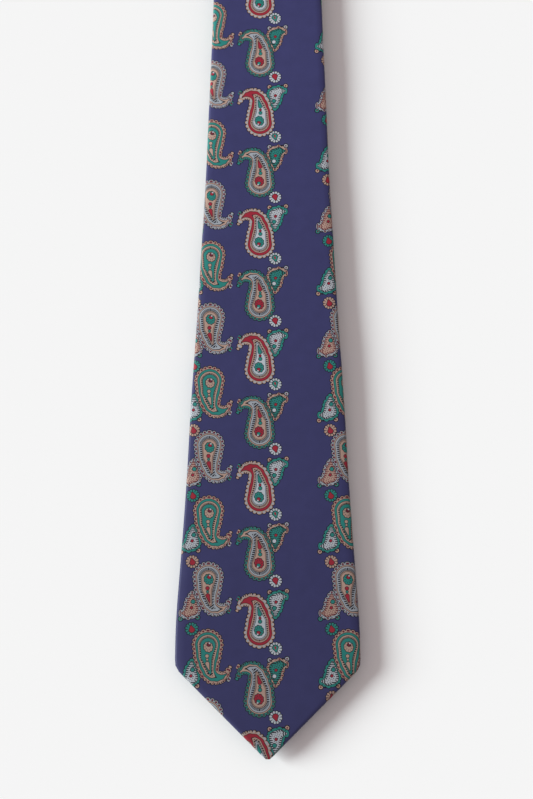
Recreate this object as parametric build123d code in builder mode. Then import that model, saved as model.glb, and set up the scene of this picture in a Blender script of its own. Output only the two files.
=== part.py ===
"""A gentleman's necktie, folded in half at the neck and laid flat, as it is shown on a table.

The wide front blade lies face up on the narrow tail, which lies face down. Each blade is a flat tube of
printed silk around a woollen interlining, with a lining (the tipping) closing the back of its point. The
tube's two edges meet down the middle of the back and are held by slip stitches between two bar tacks.

Axes: +Z up, X across the blades, Y along them, with the front blade's point at the -Y end and the fold at
the +Y end. The origin is the bottom centre of the folded tie. Lengths are in millimetres, and a place
along a blade is its distance from that blade's own point.

The front blade can lift from the tail at three bend lines, and the whole of it can swing up and over at
the fold, so the shell and the interlining are divided there.
"""

import math
import os

from build123d import *

# Overall sizes
FRONT_LENGTH = 760.0  # the front blade's point to the outside of the fold
CLOTH_LENGTH = 1480.0  # point to point along the middle of the cloth
STACK = 9.0  # the two layers, from the table to the face of the front blade

# Cross-section
BLADE_THICK = 3.6
SILK = 0.4  # the shell's wall, a turned layer of silk
SIDE_ROUND = 1.6  # the rolled side edges
INSIDE_ROUND = 1.2
WOOL_THICK = 2.2
WOOL_INSET = 0.9  # from the outline of the blade to the edge of the interlining
WOOL_ROUND = 0.8
LINING_THICK = 0.25
LINING_INSET = 1.6
THREAD = 0.25

# Outlines: (distance from the point, half of the width), from the widest place up to near the fold
NECK_HALF = 17.0
FRONT_SIDE = [(57, 45), (97, 42.7), (157, 39.2), (240, 34.7), (327, 30.6), (394, 28.4), (470, 25.2),
              (550, 21.7), (630, 19.0), (700, 17.5)]
TAIL_SIDE = [(32, 23), (90, 22.2), (200, 20.4), (340, 18.6), (480, 17.6), (600, 17.2)]
POINT_ROUND = 2.2
SHOULDER_ROUND = 6.0

# The back of each point: the hem turned in along its two edges, and where the two flaps meet
HEM = {"front": 7.0, "tail": 6.0}
FLAPS_MEET = {"front": 92.0, "tail": 47.0}
LINING_PAST_FLAPS = 14.0
SEAM_WIDE = 0.3
SEAM_DEEP = 0.2

# Places along the front blade and the tail
BENDS = [165.0, 355.0, 555.0]
BEND_GAP = 0.4  # between the two sides of a bend line, and of the fold
FRONT_JOIN = 620.0  # the slanting seams that join the blades to the neck piece
TAIL_JOIN = 560.0
JOIN_ANGLE = 45.0

# What is sewn on the back of the front blade
KEEPER_AT = 226.0
KEEPER_WIDE = 11.0
KEEPER_SPAN = 50.0
KEEPER_END = 4.0
KEEPER_THICK = 0.5
KEEPER_GAP = 0.75
LABEL_AT = 254.0
LABEL_SIZE = (52.0, 22.0, 0.3)
TAG_AT = 286.0
TAG_SIZE = (16.0, 28.0, 0.3)
BAR_TACK = {"front": (9.0, 1.4, 0.35), "tail": (6.0, 1.2, 0.35)}

# Stitches across the back seam
STITCH = (2.6, 0.4, 0.2)
STITCH_PITCH = 11.0
STITCH_MARGIN = 6.0

# Worked out from the sizes above. The rounding takes a little off each point, so its corner lies past its end
POINT_LOSS = POINT_ROUND * (math.sqrt(2) - 1)
POINT_Y = {"front": -FRONT_LENGTH / 2 - POINT_LOSS}
FOLD_OUT = STACK / 2
FOLD_Y = FRONT_LENGTH / 2 - FOLD_OUT
FOLD_MID = FOLD_OUT - BLADE_THICK / 2
FRONT_STRAIGHT = FOLD_Y - POINT_Y["front"]
TAIL_STRAIGHT = CLOTH_LENGTH + 2 * POINT_LOSS - FRONT_STRAIGHT - math.pi * FOLD_MID
POINT_Y["tail"] = FOLD_Y - TAIL_STRAIGHT
SIDES = {
    "front": [*FRONT_SIDE, (FRONT_STRAIGHT, NECK_HALF)],
    "tail": [*TAIL_SIDE, (TAIL_STRAIGHT, NECK_HALF)],
}
LOW = {"front": STACK - BLADE_THICK, "tail": 0.0}
BACK_Z = {"front": LOW["front"], "tail": BLADE_THICK}  # each blade's back faces the other blade
INWARD = {"front": 1, "tail": -1}  # from the back of a blade towards its face, along Z
PAST_END = 3.0  # outlines run this far past the fold line before they are cut off there
CUT_PAST = 0.1  # how far a cut runs on past the wall it goes through


def at(blade, along):
    """The Y of a place along a blade."""
    return POINT_Y[blade] + along


def outline(blade, inset):
    """Half of a blade's outline drawn in by inset: up one edge of its point, round the shoulder, and along
    its side to the fold line and a little past it. It is drawn in the sketch that calls it."""
    side = [(half - inset, at(blade, along)) for along, half in SIDES[blade]]
    widest, end = side[0], side[-1]
    point_y = POINT_Y[blade] + inset * math.sqrt(2)
    FilletPolyline((0, point_y), (widest[0], point_y + widest[0]), widest, radius=SHOULDER_ROUND - inset)
    Spline(*side, tangents=[(0, 1), (0, 1)])
    Polyline(end, (end[0], end[1] + PAST_END), (0, end[1] + PAST_END))


def slab(blade, inset, low, high, rounding):
    """A closed slab with a blade's outline drawn in by inset, running past the fold line, its rims rounded."""
    with BuildPart() as solid:
        with BuildSketch(Plane.XY.offset(low)) as plan:
            with BuildLine():
                outline(blade, inset)
                mirror(about=Plane.YZ)
            make_face()
            fillet(plan.vertices().sort_by(Axis.Y)[0], radius=POINT_ROUND - inset)
        extrude(amount=high - low)
        if rounding:
            rims = solid.faces().sort_by(Axis.Z)
            fillet(rims[0].edges() + rims[-1].edges(), radius=rounding)
    return solid.part


def quarter_fold(blade, inset, rounding):
    """Half of the fold at the neck: the neck's cross-section turned through a right angle about the fold."""
    middle = LOW[blade] + BLADE_THICK / 2
    with BuildPart() as solid:
        with BuildSketch(Plane.XZ.offset(-FOLD_Y)):
            with Locations((0, middle)):
                RectangleRounded(2 * (NECK_HALF - inset), BLADE_THICK - 2 * inset, rounding)
        revolve(axis=Axis((0, FOLD_Y, FOLD_OUT), (-INWARD[blade], 0, 0)), revolution_arc=90)
    return solid.part


def wool(blade):
    """The interlining of a blade, out to the fold line, with its half of the fold."""
    low = LOW[blade] + (BLADE_THICK - WOOL_THICK) / 2
    middle = low + WOOL_THICK / 2
    with BuildPart() as solid:
        add(slab(blade, WOOL_INSET, low, low + WOOL_THICK, WOOL_ROUND))
        split(bisect_by=Plane.XZ.offset(-FOLD_Y), keep=Keep.TOP)
        with BuildSketch(Plane.XZ.offset(-FOLD_Y)):
            with Locations((0, middle)):
                RectangleRounded(2 * (NECK_HALF - WOOL_INSET), WOOL_THICK, WOOL_ROUND)
        revolve(axis=Axis((0, FOLD_Y, FOLD_OUT), (-INWARD[blade], 0, 0)), revolution_arc=90)
    return solid.part


def window(blade):
    """What is cut from the back of a point, between its hem and its two flaps, so that the lining shows."""
    hem = HEM[blade] * math.sqrt(2)
    meet = FLAPS_MEET[blade]
    corner = (meet - hem) / 2
    with BuildPart() as solid:
        with BuildSketch(Plane.XY.offset(BACK_Z[blade])):
            with BuildLine():
                Polyline((0, at(blade, hem)), (corner, at(blade, hem + corner)), (0, at(blade, meet)),
                         (-corner, at(blade, hem + corner)), close=True)
            make_face()
        extrude(amount=SILK + CUT_PAST, both=True)
    return solid.part


def seam_groove(blade):
    """The line where the two flaps meet, from the window's corner to the fold line."""
    start = at(blade, FLAPS_MEET[blade] - SEAM_WIDE)
    middle_y = (start + FOLD_Y) / 2
    length = FOLD_Y - start
    with BuildPart() as solid:
        with Locations((0, middle_y, BACK_Z[blade])):
            Box(SEAM_WIDE, length, 2 * SEAM_DEEP)
    return solid.part


def shell(blade):
    """The silk tube of a blade, out to the fold line."""
    low = LOW[blade]
    with BuildPart() as solid:
        add(slab(blade, 0, low, low + BLADE_THICK, SIDE_ROUND))
        add(slab(blade, SILK, low + SILK, low + BLADE_THICK - SILK, INSIDE_ROUND), mode=Mode.SUBTRACT)
        split(bisect_by=Plane.XZ.offset(-FOLD_Y), keep=Keep.TOP)
        add(window(blade), mode=Mode.SUBTRACT)
        add(seam_groove(blade), mode=Mode.SUBTRACT)
    return solid.part


def fold_shell(blade):
    """The silk over half of the fold."""
    with BuildPart() as solid:
        add(quarter_fold(blade, 0, SIDE_ROUND))
        add(quarter_fold(blade, SILK, INSIDE_ROUND), mode=Mode.SUBTRACT)
    return solid.part


def between(body, blade, first, last):
    """The stretch of a blade's part from first to last, each a distance from the point or None for no cut."""
    with BuildPart() as solid:
        add(body)
        if first is not None:
            split(bisect_by=Plane.XZ.offset(-at(blade, first)), keep=Keep.BOTTOM)
        if last is not None:
            split(bisect_by=Plane.XZ.offset(-at(blade, last)), keep=Keep.TOP)
    return solid.part


def join_plane(blade):
    """The upright plane of the slanting seam between a blade and the neck piece."""
    along = {"front": FRONT_JOIN, "tail": TAIL_JOIN}[blade]
    turn = math.radians(JOIN_ANGLE)
    return Plane(origin=(0, at(blade, along), 0), z_dir=(math.sin(turn), math.cos(turn), 0))


def clear_of_fold(body, blade):
    """The part with its end drawn back from the middle of the fold by half of the gap."""
    with BuildPart() as solid:
        add(body)
        height = FOLD_OUT + INWARD[blade] * BEND_GAP / 2
        split(bisect_by=Plane.XY.offset(height), keep=Keep.TOP if blade == "front" else Keep.BOTTOM)
    return solid.part


def lining(blade):
    """The tipping: the lining that lies under the hem and the two flaps at the back of a point."""
    gap = (BLADE_THICK - WOOL_THICK) / 2 - SILK
    middle = BACK_Z[blade] + INWARD[blade] * (SILK + gap / 2)
    body = slab(blade, LINING_INSET, middle - LINING_THICK / 2, middle + LINING_THICK / 2, 0)
    return between(body, blade, None, FLAPS_MEET[blade] + LINING_PAST_FLAPS)


def sewn_on(blade, along, size):
    """A flat piece lying on the outside of a blade's back."""
    with BuildPart() as solid:
        with Locations((0, at(blade, along), BACK_Z[blade] - INWARD[blade] * size[2] / 2)):
            Box(*size)
    return solid.part


def slip_stitches(blade, first, last, covered=()):
    """The stitches across the back seam from first to last, except where something covers them."""
    count = int((last - first - 2 * STITCH_MARGIN) / STITCH_PITCH) + 1
    start = (first + last - (count - 1) * STITCH_PITCH) / 2
    places = [start + i * STITCH_PITCH for i in range(count)]
    open_places = [p for p in places if all(abs(p - middle) > reach for middle, reach in covered)]
    height = BACK_Z[blade] - INWARD[blade] * STITCH[2] / 2
    with BuildPart() as solid:
        with Locations([(0, at(blade, p), height) for p in open_places]):
            Box(*STITCH)
    return solid.part


def join_thread(blade):
    """The thread of a slanting seam, inside the tube under the face of the blade."""
    along = {"front": FRONT_JOIN, "tail": TAIL_JOIN}[blade]
    gap = (BLADE_THICK - WOOL_THICK) / 2 - SILK
    face = BACK_Z[blade] + INWARD[blade] * (BLADE_THICK - SILK - gap / 2)
    length = 2 * (NECK_HALF - SIDE_ROUND) / math.sin(math.radians(JOIN_ANGLE))
    with BuildPart() as solid:
        with Locations(Location((0, at(blade, along), face), (0, 0, -JOIN_ANGLE))):
            Box(length, THREAD, THREAD)
    return solid.part


def keeper_band():
    """The loop's bridge, hanging just clear of the blade's back."""
    middle = BACK_Z["front"] - KEEPER_GAP - KEEPER_THICK / 2
    with BuildPart() as solid:
        with Locations((0, at("front", KEEPER_AT), middle)):
            Box(KEEPER_SPAN, KEEPER_WIDE, KEEPER_THICK)
    return solid.part


def keeper_end(side):
    """One end of the loop, from its bridge to the blade's back."""
    height = KEEPER_GAP + KEEPER_THICK
    place = (side * (KEEPER_SPAN + KEEPER_END) / 2, at("front", KEEPER_AT), BACK_Z["front"] - height / 2)
    with BuildPart() as solid:
        with Locations(place):
            Box(KEEPER_END, KEEPER_WIDE, height)
    return solid.part


def label_stitches():
    """The stitches at the four corners of the label."""
    across = LABEL_SIZE[0] + STITCH[1]
    along = LABEL_SIZE[1] - 2 * STITCH[0]
    height = BACK_Z["front"] - STITCH[2] / 2
    with BuildPart() as solid:
        with Locations((0, at("front", LABEL_AT), height)):
            with GridLocations(across, along, 2, 2):
                Box(STITCH[1], STITCH[0], STITCH[2])
    return solid.part


def keeper_tacks():
    """The two short rows of stitches that hold the loop's ends to the blade's back."""
    across = KEEPER_SPAN + 2 * KEEPER_END + STITCH[1]
    height = BACK_Z["front"] - STITCH[2] / 2
    with BuildPart() as solid:
        with Locations((0, at("front", KEEPER_AT), height)):
            with GridLocations(across, KEEPER_WIDE / 3, 2, 3):
                Box(STITCH[1], STITCH[0], STITCH[2])
    return solid.part


def cut_at_join(body, blade, keep):
    """The side of the slanting seam nearer the point (Keep.BOTTOM) or nearer the fold (Keep.TOP)."""
    with BuildPart() as solid:
        add(body)
        split(bisect_by=join_plane(blade), keep=keep)
    return solid.part


def neck(blade, whole_shell):
    """The neck piece's half on one blade, from the slanting seam over its half of the fold."""
    with BuildPart() as solid:
        add(cut_at_join(whole_shell, blade, Keep.TOP))
        add(fold_shell(blade))
    return clear_of_fold(solid.part, blade)


half_gap = BEND_GAP / 2
tip_end, lower_end, mid_end = BENDS
front_shell = shell("front")
tail_shell = shell("tail")
front_wool = wool("front")
tail_wool = wool("tail")
covered = [(LABEL_AT, LABEL_SIZE[1] / 2 + STITCH[1]), (TAG_AT, TAG_SIZE[1] / 2 + STITCH[1])]
upper_shell = between(front_shell, "front", mid_end + half_gap, None)
fold_stitch_end = FRONT_STRAIGHT
tail_stitch_end = TAIL_STRAIGHT

pieces = {
    # The front blade's point, up to the first bend line
    "front_tip_shell": between(front_shell, "front", None, tip_end - half_gap),
    "front_tipping": lining("front"),
    "front_tip_interlining": between(front_wool, "front", None, tip_end - half_gap),
    "front_bar_tack": sewn_on("front", FLAPS_MEET["front"] + BAR_TACK["front"][1], BAR_TACK["front"]),
    "front_tip_slip_stitches": slip_stitches("front", FLAPS_MEET["front"] + STITCH_MARGIN, tip_end),
    # Its lower stretch, with the keeper loop, the label and the care tag
    "front_lower_shell": between(front_shell, "front", tip_end + half_gap, lower_end - half_gap),
    "front_lower_interlining": between(front_wool, "front", tip_end + half_gap, lower_end - half_gap),
    "front_lower_slip_stitches": slip_stitches("front", tip_end, lower_end, covered),
    "keeper_band": keeper_band(),
    "keeper_end_left": keeper_end(-1),
    "keeper_end_right": keeper_end(1),
    "keeper_tacks": keeper_tacks(),
    "label": sewn_on("front", LABEL_AT, LABEL_SIZE),
    "label_stitches": label_stitches(),
    "care_tag": sewn_on("front", TAG_AT, TAG_SIZE),
    # Its middle stretch
    "front_mid_shell": between(front_shell, "front", lower_end + half_gap, mid_end - half_gap),
    "front_mid_interlining": between(front_wool, "front", lower_end + half_gap, mid_end - half_gap),
    "front_mid_slip_stitches": slip_stitches("front", lower_end, mid_end),
    # Its upper stretch, and the neck piece as far as the fold
    "front_upper_shell": cut_at_join(upper_shell, "front", Keep.BOTTOM),
    "front_upper_interlining": clear_of_fold(between(front_wool, "front", mid_end + half_gap, None), "front"),
    "front_upper_slip_stitches": slip_stitches("front", mid_end, fold_stitch_end),
    "front_join_thread": join_thread("front"),
    "neck_shell_front": neck("front", front_shell),
    # The neck piece beyond the fold, and the tail
    "neck_shell_tail": neck("tail", tail_shell),
    "tail_join_thread": join_thread("tail"),
    "tail_shell": cut_at_join(tail_shell, "tail", Keep.BOTTOM),
    "tail_tipping": lining("tail"),
    "tail_interlining": clear_of_fold(tail_wool, "tail"),
    "tail_bar_tack": sewn_on("tail", FLAPS_MEET["tail"] + BAR_TACK["tail"][1], BAR_TACK["tail"]),
    "tail_slip_stitches": slip_stitches("tail", FLAPS_MEET["tail"] + STITCH_MARGIN, tail_stitch_end),
}

os.makedirs("parts", exist_ok=True)
for name, solid in pieces.items():
    solid.label = name
    export_step(solid, f"parts/{name}.step")
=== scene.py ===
"""How the folded necktie looks: soft shells of printed silk around their interlining, the lining and the
hand-sewing on the back, a pale floor and a soft light. Lengths are in metres, except in the materials, which
count the cloth in millimetres."""

import math

import bmesh
import bpy
import numpy as np
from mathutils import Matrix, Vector


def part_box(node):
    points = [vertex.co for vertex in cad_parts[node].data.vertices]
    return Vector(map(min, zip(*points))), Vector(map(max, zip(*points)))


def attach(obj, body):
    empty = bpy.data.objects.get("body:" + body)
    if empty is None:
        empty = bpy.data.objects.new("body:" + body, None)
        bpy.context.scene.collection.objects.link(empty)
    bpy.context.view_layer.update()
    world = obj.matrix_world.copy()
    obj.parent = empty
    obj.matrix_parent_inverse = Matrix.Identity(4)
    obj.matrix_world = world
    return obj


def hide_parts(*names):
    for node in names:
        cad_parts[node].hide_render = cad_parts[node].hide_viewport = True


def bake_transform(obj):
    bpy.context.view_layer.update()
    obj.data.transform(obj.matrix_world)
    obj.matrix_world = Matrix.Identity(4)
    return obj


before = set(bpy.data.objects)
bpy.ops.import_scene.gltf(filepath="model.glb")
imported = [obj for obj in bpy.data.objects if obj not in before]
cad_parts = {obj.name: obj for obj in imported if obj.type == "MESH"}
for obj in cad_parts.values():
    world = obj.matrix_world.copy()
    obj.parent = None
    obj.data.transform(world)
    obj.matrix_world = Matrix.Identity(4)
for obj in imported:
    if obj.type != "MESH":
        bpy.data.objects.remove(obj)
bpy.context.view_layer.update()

MM = 0.001

# ---------------------------------------------------------------- sizes, read from the CAD parts

tip_low, tip_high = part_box("front_tip_shell")
tail_low, tail_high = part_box("tail_shell")
_, neck_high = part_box("neck_shell_front")
TIP_Y = tip_low.y
TAIL_TIP_Y = tail_low.y
THICK = tip_high.z - tip_low.z
FRONT_MID = (tip_high.z + tip_low.z) / 2
TAIL_MID = (tail_high.z + tail_low.z) / 2
FOLD_Z = (FRONT_MID + TAIL_MID) / 2
FOLD_R = (FRONT_MID - TAIL_MID) / 2
FOLD_Y = neck_high.y - FOLD_R - THICK / 2
NECK_HALF = 17 * MM

# Cloth coordinate s runs from the front point, over the fold, to the tail's point
S_FOLD = FOLD_Y - TIP_Y
S_ARC = math.pi * FOLD_R
S_TAIL = S_FOLD + S_ARC
S_END = S_TAIL + FOLD_Y - TAIL_TIP_Y

FRONT_JOIN = 620 * MM
TAIL_JOIN = S_END - 560 * MM
FRONT_SHELLS = ["front_tip_shell", "front_lower_shell", "front_mid_shell", "front_upper_shell",
                "neck_shell_front"]
TAIL_SHELLS = ["tail_shell", "neck_shell_tail"]


def side_of(nodes, y, z):
    """Half of the width of these CAD nodes at y, found by looking along X at height z."""
    found = []
    for name in nodes:
        hit, place, _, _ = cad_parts[name].ray_cast((0.1, y, z), (-1, 0, 0))
        if hit:
            found.append(place.x)
    return max(found, default=None)


def width_table(nodes, z, start_y, end_y, step=2 * MM):
    """Distances from the point and half widths, sampled along a blade."""
    places, halves = [], []
    for y in np.arange(start_y + 0.2 * MM, end_y, step):
        half = side_of(nodes, y, z)
        if half:
            places.append(y - start_y)
            halves.append(half)
    return [0.0] + places, [0.2 * MM] + halves


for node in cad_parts.values():
    node.data.update()
bpy.context.view_layer.update()
front_table = width_table(FRONT_SHELLS, FRONT_MID, TIP_Y, FOLD_Y - MM)
tail_table = width_table(TAIL_SHELLS, TAIL_MID, TAIL_TIP_Y, FOLD_Y - MM)


def smooth(t):
    t = min(max(t, 0.0), 1.0)
    return t * t * (3 - 2 * t)


WAVER = 0.004
SIDE_SAG, POINT_SAG = 0.6 * MM, 0.9 * MM
SAG_ENDS = 60 * MM  # how far before the join the sag and the wave die away


def half_width(s):
    """Half of the blade's width at s, with the slight waver of hand-folded cloth."""
    waver = 1 + WAVER * math.sin(s / 0.017 + 0.6) * math.sin(s / 0.041)
    if s <= S_FOLD:
        return float(np.interp(s, *front_table)) * waver
    if s <= S_TAIL:
        return NECK_HALF
    return float(np.interp(S_END - s, *tail_table)) * waver


def sag(s, x):
    """How far the front blade hangs down past the sides of the tail, and how its face waves."""
    over = smooth((abs(x) - 16 * MM) / (32 * MM)) * SIDE_SAG
    point = smooth(1 - s / (70 * MM)) * POINT_SAG
    wave = 0.22 * MM * math.sin(s / 0.031 + 1.1 + 14 * x) + 0.16 * MM * math.sin(s / 0.0127 - 40 * x)
    return (wave - over - point) * smooth((FRONT_JOIN - s) / SAG_ENDS)


def place(s, x, n):
    """The point at s along the cloth, x across it, and n out from its middle towards its face."""
    if s <= S_FOLD:
        return (x, TIP_Y + s, FRONT_MID + n + sag(s, x))
    if s <= S_TAIL:
        turn = (s - S_FOLD) / FOLD_R
        return (x, FOLD_Y + (FOLD_R + n) * math.sin(turn), FOLD_Z + (FOLD_R + n) * math.cos(turn))
    return (x, FOLD_Y - (s - S_TAIL), TAIL_MID - n)


# ---------------------------------------------------------------- mesh helpers

def new_object(name, bm, material):
    """An object from a bmesh, smooth, with its material in a slot."""
    mesh = bpy.data.meshes.new(name)
    bm.to_mesh(mesh)
    bm.free()
    obj = bpy.data.objects.new(name, mesh)
    bpy.context.scene.collection.objects.link(obj)
    mesh.materials.append(material)
    mesh.polygons.foreach_set("use_smooth", [True] * len(mesh.polygons))
    return obj


def apply_modifiers(obj):
    """Replaces the object's mesh with the one its modifiers make."""
    evaluated = obj.evaluated_get(bpy.context.evaluated_depsgraph_get())
    mesh = bpy.data.meshes.new_from_object(evaluated)
    obj.modifiers.clear()
    obj.data = mesh


def grid(rows, wrap=False, caps=False):
    """A bmesh from rows of (point, (u, v)), all of one length. wrap joins each row's ends, and caps fills
    the first and the last row."""
    bm = bmesh.new()
    uv = bm.loops.layers.uv.new("cloth")
    verts = [[bm.verts.new(point) for point, _ in row] for row in rows]
    marks = [[mark for _, mark in row] for row in rows]
    width = len(rows[0])
    columns = range(width if wrap else width - 1)
    for i in range(len(rows) - 1):
        for j in columns:
            k = (j + 1) % width
            corners = [(i, j), (i + 1, j), (i + 1, k), (i, k)]
            face = bm.faces.new([verts[a][b] for a, b in corners])
            for loop, (a, b) in zip(face.loops, corners):
                loop[uv].uv = marks[a][b]
    if caps:
        for end, flip in ((0, False), (len(rows) - 1, True)):
            ring = verts[end][::-1] if flip else verts[end]
            face = bm.faces.new(ring)
            for loop in face.loops:
                loop[uv].uv = marks[end][0]
    bm.normal_update()
    return bm


def outward(bm):
    bmesh.ops.recalc_face_normals(bm, faces=bm.faces)
    return bm


# ---------------------------------------------------------------- shader helpers

def linear(red, green, blue):
    """An sRGB colour given from 0 to 255, as linear values."""
    def channel(c):
        c = c / 255
        return c / 12.92 if c <= 0.04045 else ((c + 0.055) / 1.055) ** 2.4
    return (channel(red), channel(green), channel(blue), 1.0)


class Graph:
    """Builds shader nodes from expressions. A plain number or tuple goes straight on the socket."""

    def __init__(self, name):
        self.material = bpy.data.materials.new(name)
        self.material.use_nodes = True
        self.tree = self.material.node_tree
        self.tree.nodes.clear()

    def node(self, kind, **settings):
        made = self.tree.nodes.new(kind)
        for key, value in settings.items():
            setattr(made, key, value)
        return made

    def put(self, socket, value):
        if isinstance(value, bpy.types.NodeSocket):
            self.tree.links.new(value, socket)
        elif value is not None:
            if socket.type == "VECTOR":
                value = value[:3]
            socket.default_value = value

    def math(self, operation, *values, clamp=False):
        made = self.node("ShaderNodeMath", operation=operation, use_clamp=clamp)
        for socket, value in zip(made.inputs, values):
            self.put(socket, value)
        return made.outputs[0]

    def add(self, a, b):
        return self.math("ADD", a, b)

    def sub(self, a, b):
        return self.math("SUBTRACT", a, b)

    def mul(self, a, b):
        return self.math("MULTIPLY", a, b)

    def less(self, a, b):
        return self.math("LESS_THAN", a, b)

    def both(self, *masks):
        found = masks[0]
        for mask in masks[1:]:
            found = self.math("MULTIPLY", found, mask)
        return found

    def between(self, value, low, high):
        """1 where value is between low and high. high may be a number or a socket."""
        if isinstance(high, bpy.types.NodeSocket):
            return self.both(self.less(low, value), self.less(value, high))
        middle = (low + high) / 2
        return self.math("COMPARE", value, middle, high - middle)

    def vector(self, operation, a, b=None, scale=None):
        made = self.node("ShaderNodeVectorMath", operation=operation)
        self.put(made.inputs[0], a)
        self.put(made.inputs[1], b)
        if scale is not None:
            self.put(made.inputs["Scale"], scale)
        return made.outputs["Value" if operation in ("DOT_PRODUCT", "LENGTH", "DISTANCE") else "Vector"]

    def choose(self, mask, a, b, kind="RGBA"):
        """a where mask is 0, and b where it is 1."""
        made = self.node("ShaderNodeMix", data_type=kind)
        names = {"FLOAT": (0, 2, 3, 0), "VECTOR": (0, 4, 5, 1), "RGBA": (0, 6, 7, 2)}[kind]
        self.put(made.inputs[names[0]], mask)
        self.put(made.inputs[names[1]], a)
        self.put(made.inputs[names[2]], b)
        return made.outputs[names[3]]

    def bands(self, value, low, high, stops):
        """The colour of the band that value lies in. stops are (where the band starts, its colour)."""
        ramp = self.node("ShaderNodeValToRGB")
        ramp.color_ramp.interpolation = "CONSTANT"
        self.put(ramp.inputs[0], self.math("MULTIPLY_ADD", value, 1 / (high - low), -low / (high - low)))
        elements = ramp.color_ramp.elements
        while len(elements) < len(stops):
            elements.new(0.5)
        for element, (start, _) in zip(elements, stops):
            element.position = min(max((start - low) / (high - low), 0), 1)
        for element, (_, color) in zip(elements, stops):
            element.color = color
        return ramp.outputs["Color"]

    def noise(self, vector, scale, detail=2.0, roughness=0.5):
        made = self.node("ShaderNodeTexNoise", noise_dimensions="3D")
        self.put(made.inputs["Vector"], vector)
        made.inputs["Scale"].default_value = scale
        made.inputs["Detail"].default_value = detail
        made.inputs["Roughness"].default_value = roughness
        return made.outputs["Fac"]

    def cloth(self):
        """The cloth's own coordinates, in millimetres."""
        made = self.node("ShaderNodeUVMap", uv_map="cloth")
        return self.vector("SCALE", made.outputs[0], scale=1000.0)

    def finish(self, color, height, roughness, bump=0.3, distance=0.0002, sheen=0.0, specular=0.4):
        """The material's surface, with a bump from height."""
        shader = self.node("ShaderNodeBsdfPrincipled")
        self.put(shader.inputs["Base Color"], color)
        self.put(shader.inputs["Roughness"], roughness)
        shader.inputs["Specular IOR Level"].default_value = specular
        shader.inputs["Sheen Weight"].default_value = sheen
        shader.inputs["Sheen Roughness"].default_value = 0.4
        made = self.node("ShaderNodeBump")
        made.inputs["Strength"].default_value = bump
        made.inputs["Distance"].default_value = distance
        self.put(made.inputs["Height"], height)
        self.put(shader.inputs["Normal"], made.outputs["Normal"])
        output = self.node("ShaderNodeOutputMaterial")
        self.put(output.inputs["Surface"], shader.outputs["BSDF"])
        return self.material


# ---------------------------------------------------------------- the print

GROUND = linear(50, 51, 92)
DARK = linear(22, 20, 30)
TEAL = linear(34, 114, 108)
TAN = linear(160, 134, 122)
GREY = linear(142, 149, 157)
LIGHT = linear(164, 171, 178)
RED = linear(138, 32, 48)
MAROON = linear(92, 30, 44)
BROWN = linear(70, 54, 58)

# A plain half-drop repeat of the builder's own, in millimetres of cloth. It doesn't follow the photographed
# print's arrangement: columns of drops, every other column half a row lower and turned over
COLUMN, ROW = 34.0, 33.0
STEP_A = (2 * COLUMN, 0.0)
STEP_B = (0.0, 2 * ROW)
KINDS = {
    "A": {"at": (0.0, 0.0), "turn": 20},
    "B": {"at": (COLUMN, ROW / 2), "turn": 200},
    "C": {"at": (0.0, ROW), "turn": 20},
    "D": {"at": (COLUMN, ROW * 3 / 2), "turn": 200},
}
MIDDLE = (-8.0, 3.6)  # the middle of the whole drawing, from the middle of the large drop's round end
OUTLINE = 0.42


def turned(point, degrees):
    c, s = math.cos(math.radians(degrees)), math.sin(math.radians(degrees))
    return (point[0] * c - point[1] * s, point[0] * s + point[1] * c)


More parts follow.
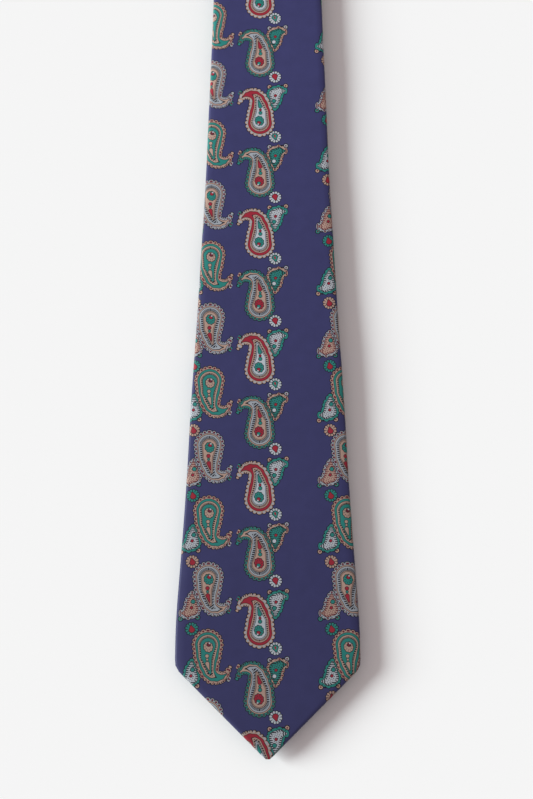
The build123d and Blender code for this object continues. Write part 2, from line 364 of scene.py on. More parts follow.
class Print(Graph):
    """The drop-shaped figures. One drawing stands four times in each repeat, each time in other colours."""

    def by_kind(self, a, b, c, d, kind="RGBA"):
        """What each of the four has here."""
        found = a
        for mask, value in ((self.is_b, b), (self.is_c, c), (self.is_d, d)):
            if value is not a:
                found = self.choose(mask, found, value, kind)
        return found

    def lay_out(self, cloth):
        """Finds the nearest drawing, which of the four it is, and the place in it."""
        det = STEP_A[0] * STEP_B[1] - STEP_A[1] * STEP_B[0]
        along_a = (STEP_B[1] / det, -STEP_B[0] / det, 0)
        along_b = (-STEP_A[1] / det, STEP_A[0] / det, 0)
        best = None
        masks = []
        for spec in KINDS.values():
            centre = (*spec["at"], 0)
            here = self.vector("SUBTRACT", cloth, centre)
            u = self.math("WRAP", self.vector("DOT_PRODUCT", here, along_a), 0.5, -0.5)
            v = self.math("WRAP", self.vector("DOT_PRODUCT", here, along_b), 0.5, -0.5)
            near = self.vector("ADD", self.vector("SCALE", (*STEP_A, 0), scale=u),
                               self.vector("SCALE", (*STEP_B, 0), scale=v))
            far = self.vector("LENGTH", near)
            c, s = turned((1, 0), -spec["turn"])
            # Subtracted, so that the drops curl the other way round from the way they are written
            x = self.sub(MIDDLE[0], self.vector("DOT_PRODUCT", near, (c, -s, 0)))
            y = self.add(self.vector("DOT_PRODUCT", near, (s, c, 0)), MIDDLE[1])
            if best is None:
                best = (far, x, y)
                masks.append(None)
                continue
            closer = self.less(far, best[0])
            best = (self.math("MINIMUM", far, best[0]), self.choose(closer, best[1], x, "FLOAT"),
                    self.choose(closer, best[2], y, "FLOAT"))
            masks = [m if m is None else self.mul(m, self.sub(1.0, closer)) for m in masks]
            masks.append(closer)
        self.is_b, self.is_c, self.is_d = masks[1:]
        self.x, self.y = best[1], best[2]
        combined = self.node("ShaderNodeCombineXYZ")
        self.put(combined.inputs[0], self.x)
        self.put(combined.inputs[1], self.y)
        self.here = combined.outputs[0]

    def cone(self, start, end):
        """A round-ended taper from one (x, y, radius) to another: the distance outside it, the way along its
        axis, the place seen from its start, its axis and its length."""
        (x0, y0, r0), (x1, y1, r1) = start, end
        length = math.hypot(x1 - x0, y1 - y0)
        axis = ((x1 - x0) / length, (y1 - y0) / length, 0)
        here = self.vector("SUBTRACT", self.here, (x0, y0, 0))
        raw = self.vector("DOT_PRODUCT", here, axis)
        along = self.math("MINIMUM", self.math("MAXIMUM", raw, 0.0), length)
        away = self.vector("DISTANCE", here, self.vector("SCALE", axis, scale=along))
        distance = self.sub(away, self.math("MULTIPLY_ADD", along, (r1 - r0) / length, r0))
        return distance, raw, here, axis, length

    def chain(self, knots, soft):
        """Tapers strung along knots: the distance outside them, and the way along their edge, counted from
        the first knot and backwards round its end."""
        distance, raw, here, axis, length = self.cone(knots[0], knots[1])
        across = self.math("ABSOLUTE", self.vector("DOT_PRODUCT", here, (-axis[1], axis[0], 0)))
        back = self.math("MAXIMUM", self.mul(raw, -1.0), 0.0)
        way = self.sub(self.math("MAXIMUM", raw, 0.0),
                       self.mul(self.math("ARCTAN2", back, across), knots[0][2] + 0.6))
        nearest = distance
        travelled = 0.0
        for start, end in zip(knots[1:], knots[2:]):
            travelled += length
            before, last = raw, length
            found, raw, _, _, length = self.cone(start, end)
            past = self.less(last, self.add(before, raw))
            closer = self.both(self.less(self.sub(found, 0.001), nearest), past)
            way = self.choose(closer, way, self.add(raw, travelled), "FLOAT")
            nearest = self.math("MINIMUM", found, nearest)
            distance = self.math("SMOOTH_MIN", distance, found, soft)
        return distance, way

    def lobes(self, distance, way, pitch, low=0.6):
        """The distance drawn in between one lobe and the next, outside the line where it is 0."""
        wave = self.math("ABSOLUTE", self.math("COSINE", self.mul(way, math.pi / pitch)))
        scaled = self.math("DIVIDE", distance, self.math("MULTIPLY_ADD", wave, 1 - low, low))
        return self.math("MAXIMUM", scaled, distance)

    def dots(self, distance, way, pitch, middle, radius):
        """1 inside a row of dots, one to a lobe."""
        side = self.math("WRAP", way, pitch / 2, -pitch / 2)
        out = self.sub(distance, middle)
        square = self.add(self.mul(side, side), self.mul(out, out))
        return self.less(square, radius * radius)

    def ticks(self, distance, way, pitch, low, high, share=0.5, shift=0.0):
        """1 on short strokes across a band."""
        side = self.math("ABSOLUTE", self.math("WRAP", self.add(way, shift), pitch / 2, -pitch / 2))
        return self.both(self.less(side, pitch * share / 2), self.between(distance, low, high))

    def paint(self, color, mask, new):
        return self.choose(mask, color, new)

    def beads(self, color, distance, way, pitch, depth, fill, dot):
        """A border of outlined beads, each with a dot in it."""
        edge = self.lobes(distance, way, pitch)
        layers = [(self.less(edge, depth + OUTLINE), DARK), (self.less(edge, depth), fill),
                  (self.ticks(distance, way, pitch, depth * 0.5, depth, 0.18, pitch / 2), DARK),
                  (self.dots(distance, way, pitch, depth * 0.5, depth * 0.33), dot)]
        for mask, new in layers:
            color = self.paint(color, mask, new)
        return color

    def spot(self, color, centre, radius, fill, edge=OUTLINE):
        """A dot with a dark outline."""
        away = self.vector("DISTANCE", self.here, (*centre, 0))
        color = self.paint(color, self.less(away, radius + edge), DARK)
        return self.paint(color, self.less(away, radius), fill)

    def drop(self, color, start, end, fill, edge=0.16):
        distance = self.cone(start, end)[0]
        color = self.paint(color, self.less(distance, edge), DARK)
        return self.paint(color, self.less(distance, 0.0), fill)

    def polar(self, centre):
        """The distance from centre, and the angle from the left, in radians."""
        here = self.vector("SUBTRACT", self.here, (*centre, 0))
        made = self.node("ShaderNodeSeparateXYZ")
        self.put(made.inputs[0], here)
        return (self.vector("LENGTH", here),
                self.math("ARCTAN2", made.outputs[1], self.mul(made.outputs[0], -1.0)))

    def flower(self, color, centre, point, petals, core, eye):
        """Petals round a pointed heart. point is the way the heart points."""
        away, angle = self.polar(centre)
        way = self.mul(angle, 12 / 2)
        edge = self.lobes(self.sub(away, 1.5), way, math.pi, 0.68)
        color = self.paint(color, self.less(edge, 1.62 + OUTLINE), DARK)
        color = self.paint(color, self.less(edge, 1.62), petals)
        gaps = self.ticks(away, way, math.pi, 1.8, 3.0, 0.26, math.pi / 2)
        color = self.paint(color, gaps, DARK)
        x, y = centre
        color = self.drop(color, (x - 0.3 * point[0], y - 0.3 * point[1], 1.35),
                          (x + 1.3 * point[0], y + 1.3 * point[1], 0.35), core, 0.34)
        return self.drop(color, (x - 0.6 * point[0], y - 0.6 * point[1], 0.5),
                         (x + 0.3 * point[0], y + 0.3 * point[1], 0.2), eye, 0.0)

    def leaf(self, color):
        pick = self.by_kind
        distance, way = self.chain([(-12.2, 5.6, 0.7), (-13.6, 9.0, 2.3), (-14.8, 12.2, 3.1),
                                    (-17.3, 13.2, 2.0), (-20.0, 12.3, 0.5)], 1.0)
        color = self.beads(color, distance, way, 1.9, 1.25, pick(TEAL, GREY, TAN, TEAL),
                           pick(TEAL, MAROON, MAROON, TEAL))
        color = self.paint(color, self.less(distance, 0.12), DARK)
        color = self.paint(color, self.less(distance, -0.12), pick(LIGHT, TAN, TEAL, LIGHT))
        strokes = self.ticks(distance, way, 0.95, -1.15, -0.1, 0.56)
        color = self.paint(color, strokes, pick(DARK, MAROON, DARK, DARK))
        wave = self.vector("SCALE", self.here, scale=2 * math.pi / 1.35)
        made = self.node("ShaderNodeSeparateXYZ")
        self.put(made.inputs[0], wave)
        product = self.mul(self.math("COSINE", made.outputs[0]), self.math("COSINE", made.outputs[1]))
        speckle = self.both(self.less(0.42, product), self.less(distance, -1.25))
        color = self.paint(color, speckle, pick(BROWN, MAROON, DARK, BROWN))
        color = self.spot(color, (-14.6, 11.4), 0.62, RED, 0.26)
        return self.spot(color, (-12.9, 8.9), 0.9, pick(TEAL, TEAL, LIGHT, TEAL), 0.3)

    def large_drop(self, color):
        pick = self.by_kind
        outer, way = self.chain([(-2.0, 0.1, 6.25), (-3.9, 5.0, 5.4), (-5.2, 9.0, 4.25), (-5.7, 12.5, 3.25),
                                 (-4.9, 15.0, 2.6), (-3.1, 16.5, 2.0), (-0.9, 17.1, 1.25), (1.5, 16.6, 0.4),
                                 (4.2, 14.3, -0.35)], 0.8)
        inner = self.cone((-2.0, 0.6, 3.25), (-4.5, 5.4, 2.1))[0]
        inner = self.math("SMOOTH_MIN", inner, self.cone((-4.5, 5.4, 2.1), (-5.4, 13.3, 0.15))[0], 0.6)
        outer = self.add(outer, 0.3)
        color = self.beads(color, outer, way, 2.1, 1.72, pick(TAN, GREY, TEAL, TAN),
                           pick(GREY, MAROON, BROWN, MAROON))
        # From 0 on the outer edge to -3.3 on the edge of the inner drop, however wide the way between them
        share = self.math("DIVIDE", self.mul(outer, 3.3), self.sub(inner, outer))
        depth = self.choose(self.less(outer, 0.0), outer, share, "FLOAT")
        bands = pick(
            self.bands(depth, -4, 1, [(-4, LIGHT), (-3.35, DARK), (-3.1, GREY), (-2.75, TAN), (-1.4, DARK),
                                      (-1.15, RED), (-0.05, DARK), (0.2, TAN)]),
            self.bands(depth, -4, 1, [(-4, TAN), (-3.35, DARK), (-3.1, TAN), (-2.8, DARK), (-2.55, GREY),
                                      (-0.65, DARK), (-0.4, TAN), (0.08, DARK), (0.32, GREY)]),
            self.bands(depth, -4, 1, [(-4, TAN), (-3.35, DARK), (-3.1, TAN), (-2.8, DARK), (-2.55, GREY),
                                      (-0.65, DARK), (-0.4, TAN), (0.08, DARK), (0.32, TEAL)]),
            self.bands(depth, -4, 1, [(-4, TEAL), (-2.85, DARK), (-2.6, TAN), (-1.3, DARK), (-1.05, TEAL),
                                      (-0.05, DARK), (0.2, TAN)]))
        color = self.paint(color, self.less(depth, 0.45), bands)
        strokes = self.ticks(depth, way, 1.05, -2.75, pick(-1.8, -1.3, -1.3, -1.85, "FLOAT"), 0.6)
        return self.paint(color, strokes, DARK)

    def figure(self, color):
        """The whole drawing over the ground colour."""
        pick = self.by_kind
        for centre in ((-21.5, 14.7), (-13.4, 17.0)):
            color = self.spot(color, centre, 0.95, pick(TAN, TEAL, GREY, TAN))
            color = self.spot(color, centre, 0.42, MAROON, 0.0)
        color = self.spot(color, (2.1, 19.3), 1.1, pick(TEAL, TEAL, TAN, GREY))
        color = self.spot(color, (2.1, 19.3), 0.5, MAROON, 0.0)
        petals = pick(LIGHT, TAN, LIGHT, TEAL)
        color = self.flower(color, (-6.7, -9.8), (0.1, -1.0), petals, pick(TEAL, RED, RED, RED), RED)
        color = self.leaf(color)
        color = self.large_drop(color)

        # What is in the drop: a flower, two dots and a long bead
        here = self.vector("MULTIPLY", self.vector("SUBTRACT", self.here, (-2.1, 1.2, 0)), (0.5, 0.44, 0))
        size = self.vector("LENGTH", here)
        made = self.node("ShaderNodeSeparateXYZ")
        self.put(made.inputs[0], here)
        turn = self.math("ARCTAN2", made.outputs[1], made.outputs[0])
        wave = self.math("ABSOLUTE", self.math("SINE", self.mul(turn, 4.5)))
        edge = self.math("MULTIPLY_ADD", wave, -0.14, size)
        color = self.paint(color, self.less(edge, 1.12), DARK)
        color = self.paint(color, self.less(edge, 0.96), pick(TEAL, TEAL, RED, TAN))
        veins = self.both(self.less(wave, 0.36), self.less(0.45, size))
        color = self.paint(color, self.both(veins, self.less(edge, 0.8)), DARK)
        color = self.spot(color, (-1.5, 0.2), 0.8, pick(RED, RED, TEAL, MAROON), 0.26)
        color = self.spot(color, (-0.9, -0.3), 0.4, LIGHT, 0.0)
        color = self.spot(color, (-4.1, 5.1), 0.8, pick(TEAL, RED, TEAL, TAN), 0.26)
        color = self.spot(color, (-4.6, 6.7), 0.5, pick(RED, TEAL, TEAL, TAN), 0.26)
        return self.drop(color, (-5.2, 8.6, 0.9), (-5.4, 11.9, 0.1), pick(TEAL, RED, RED, TAN), 0.28)


def silk_material():
    g = Print("printed_silk")
    cloth = g.cloth()
    g.lay_out(cloth)
    color = g.figure(GROUND)
    # The tone varies in broad patches and fine specks; painted light lightens it slowly up the front blade
    mottle = g.noise(cloth, 0.16, 3.0)
    fine = g.noise(cloth, 1.9, 2.0, 0.6)
    tone = g.math("MULTIPLY_ADD", mottle, 0.24, 0.84)
    tone = g.add(tone, g.math("MULTIPLY_ADD", fine, 0.20, -0.06))
    made = g.node("ShaderNodeSeparateXYZ")
    g.put(made.inputs[0], cloth)
    slant = g.add(g.mul(made.outputs[0], 0.82), made.outputs[1])
    rib = g.math("SINE", g.mul(slant, 2 * math.pi / 0.55))
    thread = g.math("SINE", g.mul(g.sub(made.outputs[0], made.outputs[1]), 2 * math.pi / 0.38))
    tone = g.add(tone, g.mul(rib, 0.018))
    # Painted light: the silk is dimmer at the point and brighter up the blade, as if lit more strongly there
    painted_light_up_blade = g.math("MINIMUM", g.math("MAXIMUM", g.mul(made.outputs[1], 1 / 360), 0.0), 1.0)
    tone = g.mul(tone, g.math("MULTIPLY_ADD", painted_light_up_blade, 0.4, 0.81))
    color = g.vector("SCALE", color, scale=tone)
    height = g.add(g.mul(rib, 0.5), g.mul(thread, 0.25))
    height = g.add(height, g.mul(g.noise(cloth, 0.09, 2.0), 3.0))
    rough = g.math("MULTIPLY_ADD", fine, 0.18, 0.42)
    return g.finish(color, height, rough, bump=0.25, distance=0.00006, sheen=0.0, specular=0.22)


def woven_material(name, color, across, along, depth, roughness, tone=0.12, sheen=0.1):
    """A plain cloth with its threads across x and along y, at these pitches in millimetres."""
    g = Graph(name)
    cloth = g.cloth()
    made = g.node("ShaderNodeSeparateXYZ")
    g.put(made.inputs[0], cloth)
    warp = g.math("SINE", g.mul(made.outputs[0], 2 * math.pi / across))
    weft = g.math("SINE", g.mul(made.outputs[1], 2 * math.pi / along))
    weave = g.mul(warp, weft)
    patchy = g.noise(cloth, 0.25, 3.0)
    shade = g.add(g.math("MULTIPLY_ADD", patchy, tone, 1 - tone / 2), g.mul(weave, tone * 0.3))
    shaded = g.vector("SCALE", color, scale=shade)
    return g.finish(shaded, weave, roughness, bump=0.35, distance=depth, sheen=sheen)


def label_material():
    """Dark weave with one plain frame line, and nothing written on it."""
    g = Graph("label_weave")
    cloth = g.cloth()
    made = g.node("ShaderNodeSeparateXYZ")
    g.put(made.inputs[0], cloth)
    side = g.sub(26.0, g.math("ABSOLUTE", made.outputs[0]))
    end = g.sub(11.0, g.math("ABSOLUTE", made.outputs[1]))
    frame_line = g.between(g.math("MINIMUM", side, end), 1.6, 2.3)
    warp = g.math("SINE", g.mul(made.outputs[0], 2 * math.pi / 0.5))
    weft = g.math("SINE", g.mul(made.outputs[1], 2 * math.pi / 0.42))
    weave = g.mul(warp, weft)
    color = g.choose(frame_line, linear(38, 42, 74), linear(150, 140, 118))
    color = g.vector("SCALE", color, scale=g.math("MULTIPLY_ADD", weave, 0.09, 0.95))
    return g.finish(color, weave, 0.45, bump=0.35, distance=0.00008, sheen=0.15)


def wool_material():
    g = Graph("wool_interlining")
    cloth = g.cloth()
    fuzz = g.noise(cloth, 1.1, 4.0, 0.7)
    shade = g.math("MULTIPLY_ADD", fuzz, 0.3, 0.82)
    shaded = g.vector("SCALE", linear(226, 217, 200), scale=shade)
    return g.finish(shaded, fuzz, 0.9, bump=0.5, distance=0.0003, sheen=0.3)


def thread_material():
    g = Graph("sewing_thread")
    made = g.node("ShaderNodeTexCoord")
    place_mm = g.vector("SCALE", made.outputs["Object"], scale=1000.0)
    twist = g.node("ShaderNodeTexWave", wave_type="BANDS", bands_direction="DIAGONAL")
    g.put(twist.inputs["Vector"], place_mm)
    twist.inputs["Scale"].default_value = 1.4
    shade = g.math("MULTIPLY_ADD", twist.outputs["Fac"], 0.5, 0.7)
    shaded = g.vector("SCALE", linear(74, 74, 118), scale=shade)
    return g.finish(shaded, twist.outputs["Fac"], 0.5, bump=0.4, distance=0.00008, sheen=0.2)


silk = silk_material()
satin = woven_material("lining_satin", linear(44, 46, 82), 0.32, 0.9, 0.00005, 0.32, 0.16, 0.2)
label_cloth = label_material()
tape = woven_material("care_tape", linear(232, 230, 224), 0.5, 0.5, 0.00008, 0.6, 0.1, 0.1)
wool = wool_material()
thread = thread_material()

# ---------------------------------------------------------------- the shells and their interlining

EDGE_STEPS = 6
FACE_STEPS = 22
BACK_STEPS = 11
LAP = 0.36 * MM  # how far the lapped flap stands out from the back
PRINT_SHIFT = {"front": (0.0, 0.0), "neck": (0.0131, 0.0267), "tail": (-0.0092, 0.0173)}


def section(s, half):
    """The silk's line round the blade at s, as (x, n): from the lapped flap's turned edge on the back, round
    the left side, over the face and round the right side, to the flap that lies under the lap."""
    thick = THICK / 2 * (0.32 + 0.68 * smooth(half / (7 * MM)))
    round_x = min(thick * 0.62, half * 0.6)
    flat = half - round_x
    from_point = min(s, S_END - s)
    lapped = smooth((from_point - (78 * MM if s < S_FOLD else 40 * MM)) / (9 * MM))
    lap = LAP * lapped
    size = max(lapped, 0.05)
    line = [(0.2, 0.12), (1.2, 0.2), (1.5, 0.55), (1.2, 0.95), (0.2, 1.0)]
    points = [(x * MM * size, -thick - lap * n) for x, n in line]
    for i in range(1, BACK_STEPS + 1):
        x = -flat * i / BACK_STEPS
        points.append((x, -thick - lap * (1 - smooth(-x / (9 * MM)))))
    for i in range(1, EDGE_STEPS):
        turn = math.pi * i / EDGE_STEPS
        points.append((-flat - round_x * math.sin(turn), -thick * math.cos(turn)))
    for i in range(FACE_STEPS + 1):
        points.append((-flat + 2 * flat * i / FACE_STEPS, thick))
    for i in range(1, EDGE_STEPS):
        turn = math.pi * i / EDGE_STEPS
        points.append((flat + round_x * math.sin(turn), thick * math.cos(turn)))
    for i in range(BACK_STEPS + 1):
        points.append((flat - (flat + (2 * lapped - 0.1) * MM) * i / BACK_STEPS, -thick))
    return points


def row_places(start, end, step):
    """Places from start to end, closer together at the ends and over the fold."""
    places = {start, end}
    for edge in (0.5, 1.1, 2.0, 3.4):
        places |= {start + edge * MM, end - edge * MM}
    count = max(2, round((end - start) / step))
    places |= {start + (end - start) * i / count for i in range(1, count)}
    if start < S_FOLD < end:
        places = {p for p in places if not S_FOLD - step < p < S_TAIL + step}
        # No rows in the middle third of the fold, so that it lies flat when it is opened
        places |= {S_FOLD - 3 * MM, S_TAIL + 3 * MM}
        places |= {S_FOLD + S_ARC * i / 15 for i in (0, 1, 2, 3, 4, 5, 10, 11, 12, 13, 14, 15)}
    kept = []
    for p in sorted(places):
        if not kept or p - kept[-1] > 0.3 * MM:
            kept.append(p)
    return kept


def slanted(s, x, start, end, slant_start, slant_end):
    """Turns the rows near a slanting seam until they lie along it."""
    reach = 70 * MM
    lean = slant_start * smooth(1 - (s - start) / reach) + slant_end * smooth(1 - (end - s) / reach)
    return s + lean * x


def opened(s):
    """How far across the opened fold the inside of the bend comes to lie, from 0 to 1."""
    inside = FOLD_R - THICK / 2
    deep = inside * math.sin((s - S_FOLD) / FOLD_R) / (2 * FOLD_R + THICK)
    return deep if s < S_FOLD + S_ARC / 2 else 1 - deep


def strip_rows(start, end, step, shape, slant_start, slant_end, shift, pinch=()):
    rows = []
    for s in row_places(start, end, step):
        points = shape(s, half_width(s))
        tight = 1.0
        for at_s in pinch:
            tight -= 0.1 * math.exp(-(((s - at_s) / (1.1 * MM)) ** 2))
        lengths = [0.0]
        for (x0, n0), (x1, n1) in zip(points, points[1:]):
            lengths.append(lengths[-1] + math.hypot(x1 - x0, n1 - n0))
        face = [i for i, (x, n) in enumerate(points) if n > 0]
        middle = (lengths[face[0]] + lengths[face[-1]]) / 2
        row = []
        for (x, n), length in zip(points, lengths):
            there = slanted(s, x, start, end, slant_start, slant_end)
            mark = there
            if n < 0 and S_FOLD < s < S_TAIL:
                mark = S_FOLD + S_ARC * opened(s)
            row.append((place(there, x, n * tight), (length - middle + shift[0], mark + shift[1])))
        rows.append(row)
    return rows


def open_window(bm, tip_y, hem, meet, mid_z, back_below):
    """Cuts the opening in the back of a point, between its hem and its two flaps, where the lining shows."""
    low = tip_y + hem * math.sqrt(2)
    reach = (tip_y + meet - low) / 2
    middle = low + reach
    def on_back(face):
        centre = face.calc_center_median()
        return (centre.z < mid_z) == back_below and centre.y < tip_y + meet + 4 * MM
    for side in (-1, 1):
        for up in (-1, 1):
            faces = [f for f in bm.faces if on_back(f)]
            edges = {e for f in faces for e in f.edges}
            verts = {v for f in faces for v in f.verts}
            bmesh.ops.bisect_plane(bm, geom=[*verts, *edges, *faces], dist=1e-7,
                                   plane_co=(side * reach, middle, 0), plane_no=(side, up, 0))
    inside = []
    for face in bm.faces:
        centre = face.calc_center_median()
        if on_back(face) and abs(centre.x) + abs(centre.y - middle) < reach:
            inside.append(face)
    bmesh.ops.delete(bm, geom=inside, context="FACES")


# The turned hems, where the two flaps meet above the point, and the thickness of each cloth
HEM = {"front": 7 * MM, "tail": 6 * MM}
MEET = {"front": 92 * MM, "tail": 47 * MM}
WALL = 0.35 * MM
LINING_WALL = LABEL_WALL = 0.2 * MM
KEEPER_WALL = 0.45 * MM
WOOL_STEP = 6 * MM  # between the rows of the interlining


def shell(name, start, end, nodes, cloth, slants=(0, 0), window=None, pinch=(), step=3.2 * MM):
    """One length of the silk, wrapped round the blade."""
    rows = strip_rows(start, end, step, section, *slants, PRINT_SHIFT[cloth], pinch)
    bm = outward_sheet(grid(rows))
    if window == "front":
        open_window(bm, TIP_Y, HEM["front"], MEET["front"], FRONT_MID, True)
    elif window == "tail":
        open_window(bm, TAIL_TIP_Y, HEM["tail"], MEET["tail"], TAIL_MID, False)
    obj = new_object(name, bm, silk)
    rim = obj.modifiers.new("rim", "SOLIDIFY")
    rim.thickness = WALL
    rim.offset = -1
    rim.use_rim_only = True
    apply_modifiers(obj)
    obj.data.set_sharp_from_angle(angle=math.radians(50))
    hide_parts(*nodes)
    return obj


def outward_sheet(bm):
    """Turns the sheet's faces so that the printed side is out: up on the front blade."""
    face = max(bm.faces, key=lambda f: abs(f.calc_center_median().z - FOLD_Z) * f.calc_area())
    centre = face.calc_center_median()
    if face.normal.z * (centre.z - FOLD_Z) < 0:
        bmesh.ops.reverse_faces(bm, faces=bm.faces)
    bm.normal_update()
    return bm


def padding(name, start, end, nodes):
    """One length of the interlining, a soft slab just inside the silk."""
    inset, half_thick = 2.2 * MM, 1.05 * MM
    def shape(s, half):
        w = max(half - inset, 0.3 * MM)
        r = min(half_thick, w * 0.5)
        line = []
        for i in range(9):
            line.append((-(w - r) + 2 * (w - r) * i / 8, half_thick))
        for i in range(1, 4):
            turn = math.pi * i / 4
            line.append((w - r + r * math.sin(turn), half_thick * math.cos(turn)))
        for i in range(9):
            line.append(((w - r) - 2 * (w - r) * i / 8, -half_thick))
        for i in range(1, 4):
            turn = math.pi * i / 4
            line.append((-(w - r) - r * math.sin(turn), -half_thick * math.cos(turn)))
        return line
    rows = strip_rows(start, end, WOOL_STEP, shape, 0, 0, (0, 0))
    obj = new_object(name, outward(grid(rows, wrap=True, caps=True)), wool)
    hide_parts(*nodes)
    return obj


def bend(obj):
    """Bakes the piece's placement into its mesh. It does not bend the piece."""
    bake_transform(obj)


def turn_over(obj):
    """Bakes the piece's placement into its mesh. It does not turn the piece over the fold."""
    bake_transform(obj)


# Where the silk of the front blade and of the tail is divided into sheets
S1, S2 = 230 * MM, 430 * MM
T1, T2 = S_END - 373 * MM, S_END - 187 * MM

shell_1 = shell("silk_front_1", 0.3 * MM, S1, ["front_tip_shell"], "front", window="front", step=3 * MM)
shell_2 = shell("silk_front_2", S1, S2, ["front_lower_shell"], "front")
shell_3 = shell("silk_front_3", S2, FRONT_JOIN, ["front_mid_shell", "front_upper_shell"], "front", (0, -1),
                pinch=(FRONT_JOIN,))
shell_4 = shell("silk_neck", FRONT_JOIN, TAIL_JOIN, ["neck_shell_front", "neck_shell_tail"], "neck", (-1, 1),
                pinch=(FRONT_JOIN, TAIL_JOIN))
shell_5 = shell("silk_tail_3", TAIL_JOIN, T1, ["tail_shell"], "tail", (1, 0), pinch=(TAIL_JOIN,))
shell_6 = shell("silk_tail_2", T1, T2, ["tail_shell"], "tail")
shell_7 = shell("silk_tail_1", T2, S_END - 0.3 * MM, ["tail_shell"], "tail", window="tail", step=2.6 * MM)
bend(shell_1)
bend(shell_2)
bend(shell_3)
turn_over(shell_4)
for piece in (shell_5, shell_6, shell_7):
    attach(piece, "tail")

pad_1 = padding("wool_front_1", 4 * MM, S1, ["front_tip_interlining"])
pad_2 = padding("wool_front_2", S1, S2, ["front_lower_interlining"])
pad_3 = padding("wool_front_3", S2, FRONT_JOIN, ["front_mid_interlining"])
pad_4 = padding("wool_neck", FRONT_JOIN, TAIL_JOIN, ["front_upper_interlining"])
pad_5 = padding("wool_tail", TAIL_JOIN, S_END - 4 * MM, ["tail_interlining"])
bend(pad_1)
bend(pad_2)
bend(pad_3)
turn_over(pad_4)
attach(pad_5, "tail")

# ---------------------------------------------------------------- the lining of each point


def lining(name, start, end, node, margin, body):
    """The tipping: a sheet of satin just inside the back of a point."""
    rows = []
    for s in np.linspace(start, end, 40):
        half = max(half_width(s) - margin, 0.2 * MM)
        n = -THICK / 2 + 0.3 * MM
        row = [(place(s, half * (i / 12 - 1), n), (half * (i / 12 - 1), s)) for i in range(25)]
        rows.append(row)
    obj = new_object(name, grid(rows), satin)
    wall = obj.modifiers.new("wall", "SOLIDIFY")
    wall.thickness = LINING_WALL
    wall.offset = 0
    apply_modifiers(obj)
    obj.data.set_sharp_from_angle(angle=math.radians(50))
    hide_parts(node)
    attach(obj, body)


lining("front_lining", 5 * MM, 106 * MM, "front_tipping", 2.4 * MM, "front_tip")
lining("tail_lining", S_END - 5 * MM, S_END - 61 * MM, "tail_tipping", 2.4 * MM, "tail")

# ---------------------------------------------------------------- hand sewing

def capsule(bm, start, end, radius, sides=8, rounds=5):
    """A short rounded stitch from one point to another."""
    a, b = Vector(start), Vector(end)
    axis = (b - a).normalized()
    helper = Vector((0, 0, 1)) if abs(axis.z) < 0.9 else Vector((0, 1, 0))
    u = axis.cross(helper).normalized()
    v = axis.cross(u)
    rings = []
    for i in range(rounds + 1):
        t = i / rounds
        r = radius * math.sin(math.pi * (0.12 + 0.76 * t)) ** 0.6
        centre = a.lerp(b, t)
        rings.append([bm.verts.new(centre + (u * math.cos(k) + v * math.sin(k)) * r)
                      for k in (2 * math.pi * j / sides for j in range(sides))])
    for low, high in zip(rings, rings[1:]):
        for j in range(sides):
            k = (j + 1) % sides
            bm.faces.new((low[j], low[k], high[k], high[j]))
    bm.faces.new(rings[0][::-1])
    bm.faces.new(rings[-1])


def stitches(name, spans, radius, node_names):
    """Stitches lying on the cloth, each from one (s, x) to another, on the outside of the back."""
    bm = bmesh.new()
    out = -THICK / 2 - LAP - 0.02 * MM
    for (s0, x0), (s1, x1) in spans:
        capsule(bm, place(s0, x0, out), place(s1, x1, out), radius)
    obj = new_object(name, outward(bm), thread)
    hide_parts(*node_names)
    return obj


def slip_spans(start, end, covered=()):
    """Slanting stitches over the lapped edge, about 11 mm apart."""
    count = round((end - start) / (11 * MM))
    spans = []
    for i in range(count):
        s = start + (end - start) * (i + 0.5) / count
        if not any(low < s < high for low, high in covered):
            spans.append(((s - 0.6 * MM, 2.5 * MM), (s + 0.6 * MM, 0.1 * MM)))
    return spans


def tack_spans(s, width, height, count):
    """A bar tack: threads side by side, with two across them."""
    spans = []
    for i in range(count):
        x = -width / 2 + width * (i + 0.5) / count
        spans.append(((s - height / 2, x), (s + height / 2, x + 0.15 * MM)))
    for side in (-0.25, 0.25):
        spans.append(((s + side * height, -width / 2), (s + side * height, width / 2)))
    return spans


LABEL_S, TAG_S, KEEPER_S = 254 * MM, 286 * MM, 226 * MM
STITCH_RADIUS = 0.2 * MM
covered = [(LABEL_S - 12 * MM, LABEL_S + 12 * MM), (TAG_S - 15 * MM, TAG_S + 15 * MM),
           (KEEPER_S - 7 * MM, KEEPER_S + 7 * MM)]
sewn_1 = stitches("stitches_front_1", slip_spans(98 * MM, S1, covered), STITCH_RADIUS,
                  ["front_tip_slip_stitches"])
sewn_2 = stitches("stitches_front_2", slip_spans(S1, S2, covered), STITCH_RADIUS,
                  ["front_lower_slip_stitches"])
sewn_3 = stitches("stitches_front_3", slip_spans(S2, FRONT_JOIN), STITCH_RADIUS,
                  ["front_mid_slip_stitches"])
sewn_4 = stitches("stitches_front_4", slip_spans(FRONT_JOIN, S_FOLD - 6 * MM), STITCH_RADIUS,
                  ["front_upper_slip_stitches"])
sewn_5 = stitches("stitches_tail", slip_spans(S_TAIL + 6 * MM, S_END - 53 * MM), STITCH_RADIUS,
                  ["tail_slip_stitches"])
bend(sewn_1)
bend(sewn_2)
bend(sewn_3)
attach(sewn_4, "front_upper")
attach(sewn_5, "tail")
front_tack = stitches("bar_tack_front", tack_spans(93.5 * MM, 9 * MM, 1.6 * MM, 16), 0.22 * MM,
                      ["front_bar_tack"])
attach(front_tack, "front_tip")
tail_tack = stitches("bar_tack_tail", tack_spans(S_END - 48.3 * MM, 6 * MM, 1.4 * MM, 11), STITCH_RADIUS,
                     ["tail_bar_tack"])
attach(tail_tack, "tail")

# ---------------------------------------------------------------- keeper loop, label and care tag


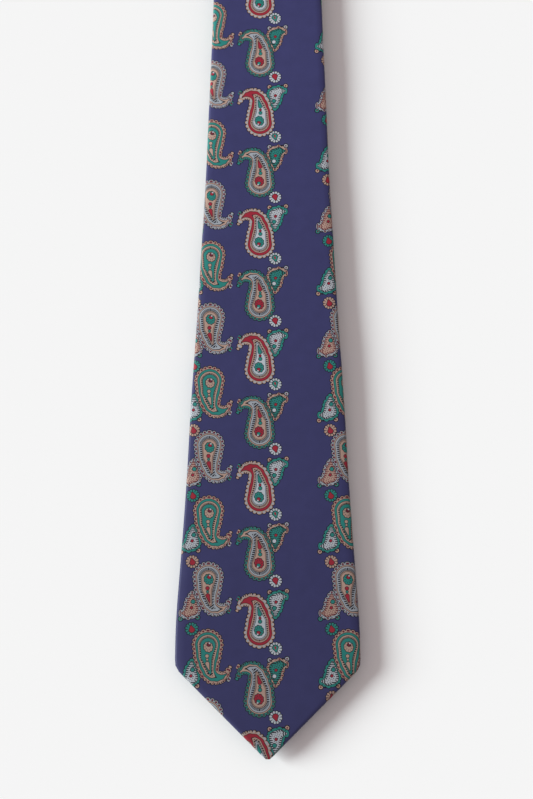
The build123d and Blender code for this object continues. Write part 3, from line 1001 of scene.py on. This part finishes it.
def flat_piece(name, lines, material, nodes, thickness, middle):
    """A small piece of cloth from rows of (s, x, n), sewn to the back of the front blade. middle is the s at
    which its own weave or print starts."""
    rows = [[(place(s, x, n), (x, s - middle)) for s, x, n in line] for line in lines]
    obj = new_object(name, grid(rows), material)
    wall = obj.modifiers.new("wall", "SOLIDIFY")
    wall.thickness = thickness
    wall.offset = 0
    apply_modifiers(obj)
    obj.data.set_sharp_from_angle(angle=math.radians(50))
    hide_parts(*nodes)
    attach(obj, "front_lower")


BACK = -THICK / 2 - LAP


def keeper_rows():
    """The loop: its ends lie on the blade's back, and its middle hangs clear of it."""
    lines = []
    for i in range(7):
        s = KEEPER_S + (i / 6 - 0.5) * 11 * MM
        line = []
        for j in range(41):
            x = (j / 20 - 1) * 30 * MM
            drop = 0.35 * MM + 0.5 * MM * smooth((28 * MM - abs(x)) / (5 * MM))
            line.append((s, x, BACK + 0.25 * MM - drop))
        lines.append(line)
    return lines


KEEPER_PRINT = 107 * MM  # where in the print the loop's strap is cut
flat_piece("keeper_loop", keeper_rows(), silk,
           ["keeper_band", "keeper_end_left", "keeper_end_right"], KEEPER_WALL,
           KEEPER_PRINT)


def patch_rows(middle, width, height, lift):
    """A flat patch centred on the seam."""
    return [[(middle + (i / 8 - 0.5) * height, (j / 8 - 1) * width / 2, BACK - lift) for j in range(17)]
            for i in range(9)]


flat_piece("woven_label", patch_rows(LABEL_S, 52 * MM, 22 * MM, 0.12 * MM), label_cloth,
           ["label"], LABEL_WALL, LABEL_S)
flat_piece("care_label", patch_rows(TAG_S, 16 * MM, 28 * MM, 0.12 * MM), tape, ["care_tag"],
           LABEL_WALL, TAG_S)
end_spans = []
for side in (-1, 1):
    for i in range(4):
        s = KEEPER_S + (i - 1.5) * 2.6 * MM
        end_spans.append(((s, side * 28.6 * MM), (s + 0.3 * MM, side * 31 * MM)))
keeper_sewn = stitches("keeper_stitches", end_spans, STITCH_RADIUS, ["keeper_tacks"])
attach(keeper_sewn, "front_lower")
corner_spans = []
for side in (-1, 1):
    for up in (-1, 1):
        s = LABEL_S + up * 10.4 * MM
        corner_spans.append(((s, side * 25.2 * MM), (s, side * 26.9 * MM)))
        corner_spans.append(((s, side * 25.4 * MM), (s + up * 1.4 * MM, side * 25.4 * MM)))
label_sewn = stitches("label_sewn", corner_spans, STITCH_RADIUS, ["label_stitches"])
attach(label_sewn, "front_lower")


def join_seam(name, s, slant, node, body):
    """The thread of a slanting seam, seen as a fine line of stitches in its groove on the face."""
    bm = bmesh.new()
    half = half_width(s) - 2.2 * MM
    count = 17
    for i in range(count):
        x0 = -half + 2 * half * (i + 0.15) / count
        x1 = -half + 2 * half * (i + 0.85) / count
        n = THICK / 2 * 0.9 - 0.12 * MM
        capsule(bm, place(s + slant * x0, x0, n), place(s + slant * x1, x1, n), 0.13 * MM, 6, 3)
    obj = new_object(name, outward(bm), thread)
    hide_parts(node)
    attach(obj, body)


join_seam("join_seam_front", FRONT_JOIN, -1, "front_join_thread", "front_upper")
join_seam("join_seam_tail", TAIL_JOIN, 1, "tail_join_thread", "tail")

# ---------------------------------------------------------------- floor, light and camera

def floor_material():
    g = Graph("floor_paper")
    made = g.node("ShaderNodeTexCoord")
    grain = g.noise(made.outputs["Object"], 900.0, 3.0)
    shade = g.math("MULTIPLY_ADD", grain, 0.012, 0.90)
    tint = g.vector("SCALE", (0.985, 1.0, 1.0), scale=shade)
    return g.finish(tint, grain, 0.85, bump=0.02, distance=0.0001, specular=0.1)


FLOOR_REACH = 40.0
FLOOR_Z = -0.3 * MM
bm = bmesh.new()
corners = ((-1, -1), (1, -1), (1, 1), (-1, 1))
bm.faces.new([bm.verts.new((x * FLOOR_REACH, y * FLOOR_REACH, 0)) for x, y in corners])
mesh = bpy.data.meshes.new("floor")
bm.to_mesh(mesh)
bm.free()
floor = bpy.data.objects.new("floor", mesh)
floor.location.z = FLOOR_Z
bpy.context.scene.collection.objects.link(floor)
mesh.materials.append(floor_material())

world = bpy.data.worlds.new("studio")
bpy.context.scene.world = world
world.use_nodes = True
background = world.node_tree.nodes["Background"]
background.inputs["Color"].default_value = (1.0, 0.87, 0.87, 1)
background.inputs["Strength"].default_value = 0.455

# A low, wide light from the left, cooler than the light from all round, so that the shadow is warm
SUN_ENERGY = 4.477
SUN_WIDTH = math.radians(30)
FROM_LEFT = Vector((-0.88, 0.05, 0.42))
key = bpy.data.lights.new("key", "SUN")
key.energy = SUN_ENERGY
key.angle = SUN_WIDTH
key.color = (0.929, 1.0, 1.0)
key_object = bpy.data.objects.new("key", key)
bpy.context.scene.collection.objects.link(key_object)
key_object.rotation_euler = FROM_LEFT.to_track_quat("Z", "Y").to_euler()

# The photograph's view: from above, leaning back a little from the point's side
TILT = math.radians(14)
DISTANCE = 0.995
LOOK_AT = Vector((-0.6 * MM, TIP_Y + 177.2 * MM, FRONT_MID + THICK / 2))
camera_data = bpy.data.cameras.new("camera")
camera_data.sensor_fit = "AUTO"
camera_data.sensor_width = 36.0
camera_data.lens = 89.85
camera = bpy.data.objects.new("camera", camera_data)
bpy.context.scene.collection.objects.link(camera)
camera.location = LOOK_AT + DISTANCE * Vector((0, -math.sin(TILT), math.cos(TILT)))
camera.rotation_euler = (TILT, 0, 0)
bpy.context.scene.camera = camera

bpy.context.scene.view_settings.view_transform = "Standard"
bpy.context.scene.view_settings.look = "None"
